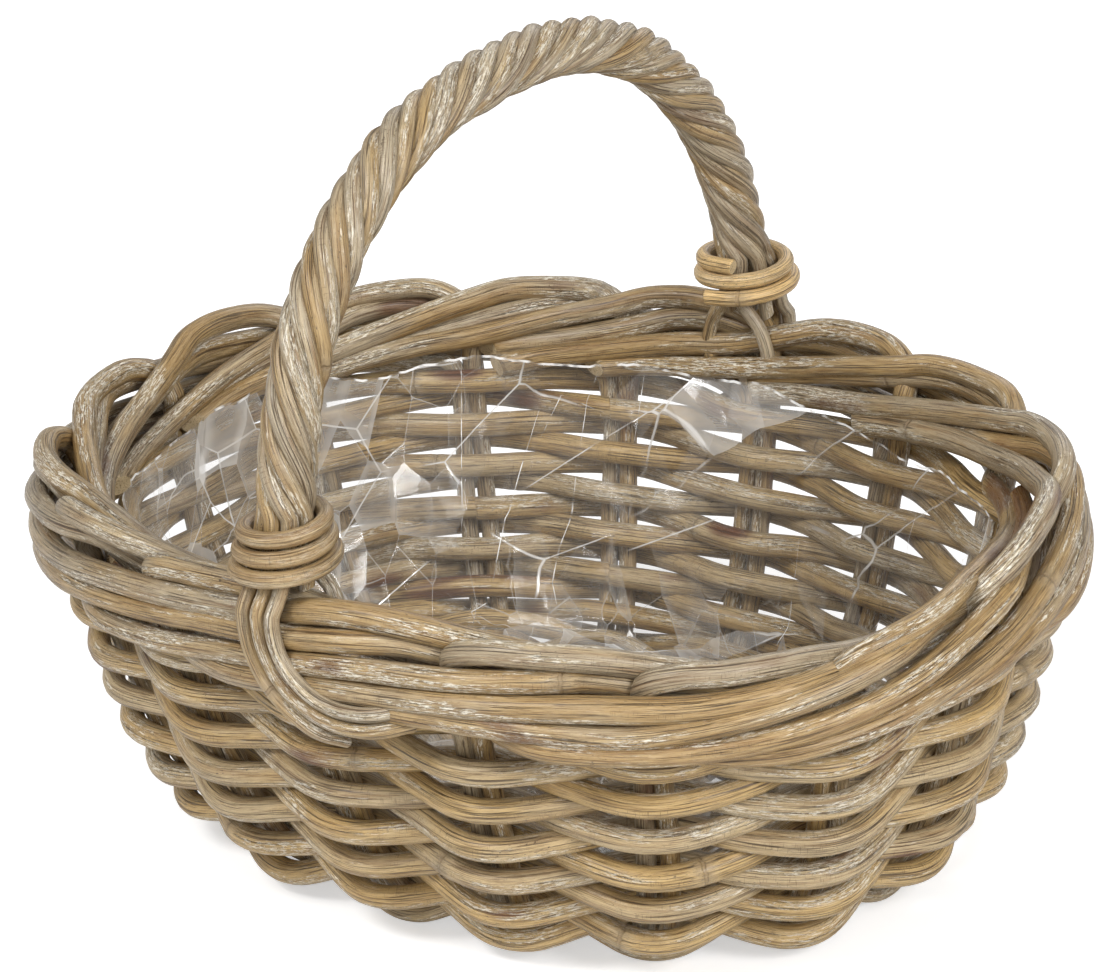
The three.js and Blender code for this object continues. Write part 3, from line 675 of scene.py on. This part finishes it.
# Handle: seven strands roped to the left round a straight core. Below the lashings three strands turn
# down over the outside of the border, two go down inside it and two end on top of it.
handle_rise = 0.145
spring_height = 0.132
handle_power = 2.29
strand_count = 7
handle_turns = 5
strand_thickness, foot_thickness, core_thickness = 0.0068, 0.0052, 0.0072
strand_tones = (0.15, 0.8, 0.55, 0.95, 0.3, 0.7, 0.4)
stout_from, stout_within = 0.15, 0.02
rope_radius, rope_wander, rope_steps = 0.0068, 0.0009, 120
rope_above = 0.0007      # the rope begins this far above the lashing
handle_half = 0.132
handle_aside = 0.0042
handle_in = wall_size[1] / 2 + border_spread - handle_half
strand_pitch = 0.0057
parted_out, parted_radius, parted_slack = 0.010, 0.0024, 0.0009
border_gap = 0.00045
curl_drop, curl_radius, curl_tail = 0.0087, 0.024, 0.008
rolled_radius = 0.0035   # of the rods in the border's roll
rim_top = border_bottom + border_side + roll_radius + rolled_radius
border_face = roll_radius + rolled_radius + border_gap + parted_radius
shoulder = roll_radius + parted_radius

bow = []
for i in range(721):
    a = math.pi * i / 720
    reach = math.copysign(abs(math.cos(a)) ** (2 / handle_power), math.cos(a))
    bow.append(Vector((-handle_aside, -handle_half * reach,
                       spring_height + handle_rise * math.sin(a) ** (2 / handle_power))))
bow_lengths = [0.0]
for here, there in zip(bow, bow[1:]):
    bow_lengths.append(bow_lengths[-1] + (there - here).length)
bow_length = bow_lengths[-1]


def bow_frame(length):
    """The middle of the handle at a length along it, and the direction out of its bow there."""
    place = between(bow_lengths, length)
    i = int(place)
    along = (bow[i + 1] - bow[i]).normalized()
    return bow[i].lerp(bow[i + 1], place - i), Vector((0, -along.z, along.y))


lashing_pitch = 0.0061
# Each foot: share round the basket, which way it faces, turns of its lashing and height above the rim
feet = {"front": (0.75, 1, 3, 0.004), "back": (0.25, -1, 2, 0.011)}


def turn_height(foot, turn_count):
    share, _, _, above = feet[foot]
    return rim_top - drop_at(share) + above + lashing_pitch * turn_count


def bow_length_at(height):
    return bow_lengths[next(i for i, p in enumerate(bow) if p.z >= height)]


foot_ends = [bow_length_at(turn_height(foot, feet[foot][2]) + rope_above) for foot in ("front", "back")]
rope_length = bow_length - sum(foot_ends)


def foot_route(rank, foot):
    """The parted end of a strand, from inside the lashing to its end on, outside or inside the border."""
    share, mirror, _, above = feet[foot]
    lashing_bottom = rim_top + above

    def at(out, along, height):
        return rim_point(share, out, along - mirror * handle_aside, height)

    spread = mirror * rank * strand_pitch
    side = mirror * math.copysign(1, rank)
    if abs(rank) <= 1:
        points = [at(parted_out - handle_in, spread, lashing_bottom - clearance),
                  at(shoulder, spread, rim_top + clearance),
                  at(border_face, spread, rim_top - curl_drop / 2)]
        centre = strand_pitch + curl_radius
        radius = centre - spread
        turn = math.radians(60 if spread < 0 else 100)
        for k in range(6):
            angle = turn * k / 5
            points.append(at(border_face, centre - radius * math.cos(angle),
                             rim_top - curl_drop - radius * math.sin(angle)))
        for tail, tuck in ((curl_tail, 0.001), (1.9 * curl_tail, 0.0068)):
            aside = centre - radius * math.cos(turn) + tail * math.sin(turn)
            points.append(at(border_face - tuck, aside,
                             rim_top - curl_drop - radius * math.sin(turn) - tail * math.cos(turn)))
        return points
    if abs(rank) == 2:
        return [at(-clearance - handle_in, side * (rope_radius + parted_slack), rim_top + clearance)]
    inside = ((0.0104, rim_top - parted_radius), (0.013, (rim_top + 0.116) / 2), (0.0117, 0.1256))
    return [at(-parted_out - handle_in, side * strand_pitch / 2, lashing_bottom - clearance),
            *(at(-border_face, side * aside, height) for aside, height in inside)]


handle_finish = rattan("handle_cane", paint(172, 144, 98), paint(174, 160, 136), 0.85, 0.4)
for strand in range(strand_count):
    luck = random.Random(f"strand {strand}")
    rank = strand - strand_count if strand > strand_count / 2 else strand
    foot_angle = math.tau * rank / strand_count
    route = foot_route(rank, "front")[::-1]
    for i in range(rope_steps + 1):
        share = i / rope_steps
        angle = foot_angle - math.tau * handle_turns * share
        point, outwards = bow_frame(foot_ends[0] + rope_length * share)
        radius = rope_radius + rope_wander * noise.noise(Vector((strand * 3.7, share * 11, 0)))
        route.append(point + (outwards * math.cos(angle) + Vector((math.sin(angle), 0, 0))) * radius)
    line = flowing([*route, *foot_route(rank, "back")])
    stouter = luck.uniform(0.88, 0.98) * strand_thickness - foot_thickness
    thicknesses = [foot_thickness + stouter * min(1, max(0, (p.z - stout_from) / stout_within))
                   for p in line]
    lay_cane(f"handle_strand_{strand + 1}", line, thicknesses, handle_finish, luck,
             tone=strand_tones[strand])

luck = random.Random("core")
core_ends = [bow_length_at(rim_top + clearance - drop_at(feet[foot][0])) for foot in ("front", "back")]
line = [bow_frame(core_ends[0] + (bow_length - sum(core_ends)) * i / 80)[0] for i in range(81)]
lay_cane("handle_core", line, core_thickness, handle_finish, luck, slants=(0, 0))

# Lashings: one cane wound round each foot of the handle, wider below where the strands part.
lashing_thickness = 0.0058
lashing_finish = rattan("lashing_cane", paint(232, 196, 136), paint(166, 138, 96), 0.2, 0.3, fibre=0.7)
lashing_inner = math.hypot(parted_out, strand_pitch) + parted_radius + clearance
lashing_wider, lashing_taper = 0.0031, 0.0015      # at the bottom, and less by this at each turn up
lashing_tail = 0.0056
turn_steps = 36
for foot, tone in (("front", 0.9), ("back", 0.1)):
    name, mirror = foot + "_lashing", feet[foot][1]
    luck = random.Random(name)
    route = []
    for i in range(feet[foot][2] * turn_steps + 1):
        turn_count = i / turn_steps
        radius = lashing_inner + lashing_wider - lashing_taper * turn_count
        angle = math.pi / 2 * mirror + math.tau * turn_count
        height = turn_height(foot, turn_count)
        centre = next(p for p in bow if p.z >= height).y * mirror
        route.append(Vector((radius * math.cos(angle) - handle_aside, centre + radius * math.sin(angle),
                             height)))
    route.insert(0, route[0] + (route[0] - route[1]).normalized() * lashing_tail)
    route.append(route[-1] + (route[-1] - route[-2]).normalized() * lashing_tail)
    lay_cane(name, flowing(route), lashing_thickness, lashing_finish, luck, tone=tone,
             slants=(0.3, 0.3), unevenness=0.06)

# Liner: a bag of thin clear film pushed into the basket by hand. It stands off the wall in big slack
# folds, has crooked creases with painted highlights along them and along its cut edge, and is cut off
# unevenly a little below the rim.
film_inset = 0.0132
film_floor = edge_height + weave_out + 0.0039
film_around = 24
# Levels: shares of the floor out from its middle, then lengths up the wall, and last the cut edge
film_levels = [("floor", 0.0), ("floor", 0.43), ("floor", 0.86)]
film_levels += [("wall", rows * row_pitch) for rows in (1.1, 2.2, 4.4, 7.6)] + [("wall", None)]
film_edge = len(film_levels) - 1
fold_depth = 0.004
film_height = 0.1135     # the mean height of its cut edge
flap_share, flap_width, flap_height = 0.365, 0.045, 0.006


def film_top(share):
    """The height of the film's cut edge, which has one flap that stands up."""
    turned = Vector((math.cos(math.tau * share), math.sin(math.tau * share), 0)) * 1.7
    flap = flap_height * math.exp(-((share % 1 - flap_share) / flap_width) ** 2)
    return film_height + 0.010 * noise.noise(turned) + 0.004 * noise.noise(turned * 3.1) + flap


def film_spot(share, level):
    """The plain place of the film, how it faces, and the depth of its fold there."""
    low = min(int(level), film_edge - 1)
    part = level - low
    column = share * film_around
    left = math.floor(column)
    depth = 0.0
    for i, near_i in ((left, left + 1 - column), (left + 1, column - left)):
        for j, near_j in ((low, 1 - part), (low + 1, part)):
            depth += near_i * near_j * abs(math.sin(2.4 * (i % film_around) + 1.9 * j * j))
    top = slope_length_at(film_top(share))
    spots = []
    for kind, value in film_levels[low:low + 2]:
        if kind == "floor":
            edge = wall_point(share, film_levels[3][1], -film_inset)
            spots.append((Vector((edge.x * value, edge.y * value, film_floor)), Vector((0, 0, 1))))
        else:
            length = top if value is None else value
            spots.append((wall_point(share, length, -film_inset),
                          -oval_point(wall_size[0] / 2, wall_size[1] / 2, angle_at(share))[1]))
    return (spots[0][0].lerp(spots[1][0], part), spots[0][1].lerp(spots[1][1], part).normalized(),
            depth * fold_depth)


def film_at(share, level):
    """A place on the crumpled film and how it faces."""
    place, facing, depth = film_spot(share % 1, min(level, film_edge))
    crumple = 0.0011 * abs(noise.noise(place * 70))
    crumple += 0.0016 * abs(noise.noise(place * 33 + Vector((5, 3, 1))))
    crumple += 0.0022 * (1 - abs(noise.noise(place * 21 + Vector((2, 8, 4))))) ** 9
    return place + facing * (depth + crumple), facing


luck = random.Random("film")
corners, faces = [], []
around_count, up_count = 360, 100
floor_hole, hem_width = 0.04, 0.015
reach = film_edge - hem_width - floor_hole
for level in [*(floor_hole + reach * j / (up_count - 1) for j in range(up_count)), film_edge]:
    corners += [film_at(i / around_count, level)[0] for i in range(around_count)]
for j in range(up_count):
    for i in range(around_count):
        a, b = j * around_count + i, j * around_count + (i + 1) % around_count
        faces.append((a, b, b + around_count, a + around_count))
corners.append(film_at(0.0, 0.0)[0])
faces += [((i + 1) % around_count, i, len(corners) - 1) for i in range(around_count)]
sheet_faces = len(faces)

# Creases: narrow folds that stand up from the film as crooked lines, tapering to nothing at their ends.
crease_count, crease_step, crease_lift = 36, 0.0025, 0.0006
share_length, level_length = 0.85, 0.0165      # about how far one share and one level reach, in metres
for fold in range(crease_count):
    share, level = luck.random(), luck.uniform(1.2, 6.9)
    heading = luck.choice((luck.uniform(0, math.tau), luck.gauss(math.pi / 2, 0.5)))
    path = [(share, level)]
    for leg in range(luck.choice((1, 2, 2, 3, 4))):
        length = luck.uniform(0.008, 0.026)
        heading += luck.gauss(0, 0.55)
        steps = max(2, round(length / crease_step))
        for k in range(steps):
            share += math.cos(heading) * length / steps / share_length
            level += math.sin(heading) * length / steps / level_length
            if 0.8 < level < film_edge:
                path.append((share, level))
    if len(path) < 4:
        continue
    width = luck.uniform(0.00010, 0.00026)
    spine = [film_at(*spot) for spot in path]
    first_corner = len(corners)
    for k, (spot, facing) in enumerate(spine):
        ahead = spine[min(k + 1, len(spine) - 1)][0] - spine[max(k - 1, 0)][0]
        sideways = facing.cross(ahead).normalized()
        taper = min(1, 3 * min(k, len(spine) - 1 - k) / len(spine) + 0.15) * luck.uniform(0.7, 1.3)
        lifted = spot + facing * crease_lift
        corners += [lifted - sideways * width * taper, lifted + sideways * width * taper]
    for k in range(len(spine) - 1):
        a = first_corner + 2 * k
        faces.append((a, a + 1, a + 3, a + 2))

sheet = bpy.data.meshes.new("film_liner_sheet")
sheet.from_pydata(corners, [], faces)
sheet.polygons.foreach_set("use_smooth", [True] * len(faces))
hem = range(around_count * (up_count - 1), around_count * up_count)
# The hem along the cut edge and the crease strips get the second, white material: painted highlights.
painted_highlight_faces = [int(i in hem or i >= sheet_faces) for i in range(len(faces))]
sheet.polygons.foreach_set("material_index", painted_highlight_faces)

# The film's look: nearly clear and faintly milky, with flat facets whose tilted normals catch the light,
# painted highlights as whiter, more opaque patches on some facets, and painted bright lines between them.
# The large painted facets are everywhere, the small ones mostly at both ends and low down.
film = bare_material("clear_film")
tree = film.node_tree
place = wire(tree, "ShaderNodeTexCoord").outputs["Object"]
tilt = wire(tree, "ShaderNodeNewGeometry").outputs["Normal"]
large_facets = ((0.2, 0.9, 0.3), (0.03, 0.03, 0.12), 0.6)        # how they are turned, sized and tilted
small_facets = ((-0.7, 0.5, 1.2), (0.013, 0.013, 0.04), 0.5)
painted_glints, lines = [], []
for turned, size, strength in (large_facets, small_facets):
    lean = wire(tree, "ShaderNodeMapping", (("Vector", place), ("Rotation", turned), ("Scale", size)),
                vector_type="TEXTURE").outputs[0]
    facet = wire(tree, "ShaderNodeTexVoronoi", (("Vector", lean), ("Scale", 1.0))).outputs["Color"]
    edge = wire(tree, "ShaderNodeTexVoronoi", (("Vector", lean), ("Scale", 1.0)),
                feature="DISTANCE_TO_EDGE").outputs["Distance"]
    shine = wire(tree, "ShaderNodeSeparateColor", ((0, facet),)).outputs[0]
    # Painted highlight: a random share of the facets is made whiter and more opaque, most towards their
    # edges.
    painted_glints.append(sums(tree, "MULTIPLY", ramped(tree, shine, 0.5, 1.0),
                      ramped(tree, edge, 0.0, 0.3, 1.0, 0.35)))
    # Painted highlight: bright lines along the edges between the facets.
    lines.append(ramped(tree, edge, 0.003, 0.013, 1.0, 0.0))
    slope = vectors(tree, "SUBTRACT", facet, (0.5, 0.5, 0.5))
    tilt = vectors(tree, "MULTIPLY_ADD", slope, (strength,) * 3, tilt)
tilt = vectors(tree, "NORMALIZE", tilt)
rare = ramped(tree, noised(tree, place, 26.0), 0.44, 0.56)
spot = wire(tree, "ShaderNodeSeparateXYZ", ((0, place),)).outputs
# Where the small painted highlights go: both ends of the basket and low down. The film is not crumpled
# more there.
painted_glint_area = sums(tree, "MAXIMUM", ramped(tree, spot[0], -0.08, -0.13),
              ramped(tree, spot[0], 0.10, 0.15, 0.0, 0.8))
painted_glint_area = sums(tree, "MAXIMUM", painted_glint_area, ramped(tree, spot[2], 0.06, 0.03, 0.15, 0.8))
small = sums(tree, "MULTIPLY", sums(tree, "MAXIMUM", painted_glints[1], lines[1]), painted_glint_area)
large = sums(tree, "MULTIPLY_ADD", painted_glints[0], 0.3,
             sums(tree, "MULTIPLY", lines[0], sums(tree, "MULTIPLY", rare, 0.7)))
# The film's own faint haze of 0.07, plus the painted highlights of the facets and the lines between them.
alpha = sums(tree, "ADD", sums(tree, "MULTIPLY_ADD", small, 0.4, 0.07), large)
alpha = sums(tree, "MINIMUM", alpha, 0.85)
surfaced(tree, ("Base Color", paint(226, 223, 218)), ("Roughness", 0.1), ("Specular IOR Level", 0.9),
         ("Coat Weight", 1.0), ("Alpha", alpha), ("IOR", 1.5), ("Normal", tilt))

# Painted highlight: the creases and the cut edge are painted near-white and nearly opaque in broken
# stretches, as if they caught the light.
crease = bare_material("film_crease_and_edge_highlight")
tree = crease.node_tree
breaks = noised(tree, wire(tree, "ShaderNodeTexCoord").outputs["Object"], 160.0, 1.0)
surfaced(tree, ("Base Color", paint(250, 249, 246)), ("Roughness", 0.3),
         ("Alpha", ramped(tree, breaks, 0.40, 0.62, 0.08, 0.9)), ("IOR", 1.5))
sheet.materials.append(film)
sheet.materials.append(crease)
liner = placed("film_liner_sheet", sheet)
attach(liner, "root")
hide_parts("film_liner")

# Floor and light: a white studio floor under a pale sky, lit softly from above the front left and from
# the right, and more weakly from low in front and from behind.
floor_sheet = bpy.data.meshes.new("floor")
floor_sheet.from_pydata([(-8, -8, 0), (8, -8, 0), (8, 8, 0), (-8, 8, 0)], [], [(0, 1, 2, 3)])
floor = placed("floor", floor_sheet)
white = bare_material("studio_floor")
tree = white.node_tree
ray = wire(tree, "ShaderNodeLightPath").outputs
seen = sums(tree, "MAXIMUM", ray["Is Camera Ray"], ray["Is Transmission Ray"])
surfaced(tree, ("Base Color", (0.8, 0.8, 0.8, 1)), ("Roughness", 0.9), ("Emission Color", (1, 1, 1, 1)),
         ("Emission Strength", sums(tree, "MULTIPLY", seen, 0.48)))
floor_sheet.materials.append(white)

sky_light = 0.34         # the camera sees the sky at its full strength of 1
world = bpy.data.worlds.new("studio")
bpy.context.scene.world = world
world.use_nodes = True
tree = world.node_tree
tree.nodes.clear()
ray = wire(tree, "ShaderNodeLightPath").outputs
sky = wire(tree, "ShaderNodeBackground", (("Color", (1, 1, 1, 1)), ("Strength", sums(
    tree, "MULTIPLY_ADD", ray["Is Camera Ray"], 1 - sky_light, sky_light))))
wire(tree, "ShaderNodeOutputWorld", ((0, sky.outputs[0]),))


def softbox(name, place, size, power):
    """A round lamp that faces the basket."""
    lamp = bpy.data.lights.new(name, "AREA")
    lamp.shape, lamp.size, lamp.energy = "DISK", size, power
    facing = Vector(place).to_track_quat("Z", "Y").to_matrix().to_4x4()
    placed(name, lamp).matrix_world = Matrix.Translation(place) @ facing


softbox("key_light", (-0.5, -1.4, 1.9), 0.8, 29)
softbox("fill_light", (1.8, -0.4, 1.2), 0.8, 29)
softbox("front_light", (0.9, -1.9, 0.75), 1.5, 11)
softbox("back_light", (-0.6, 1.9, 1.1), 1.2, 9)
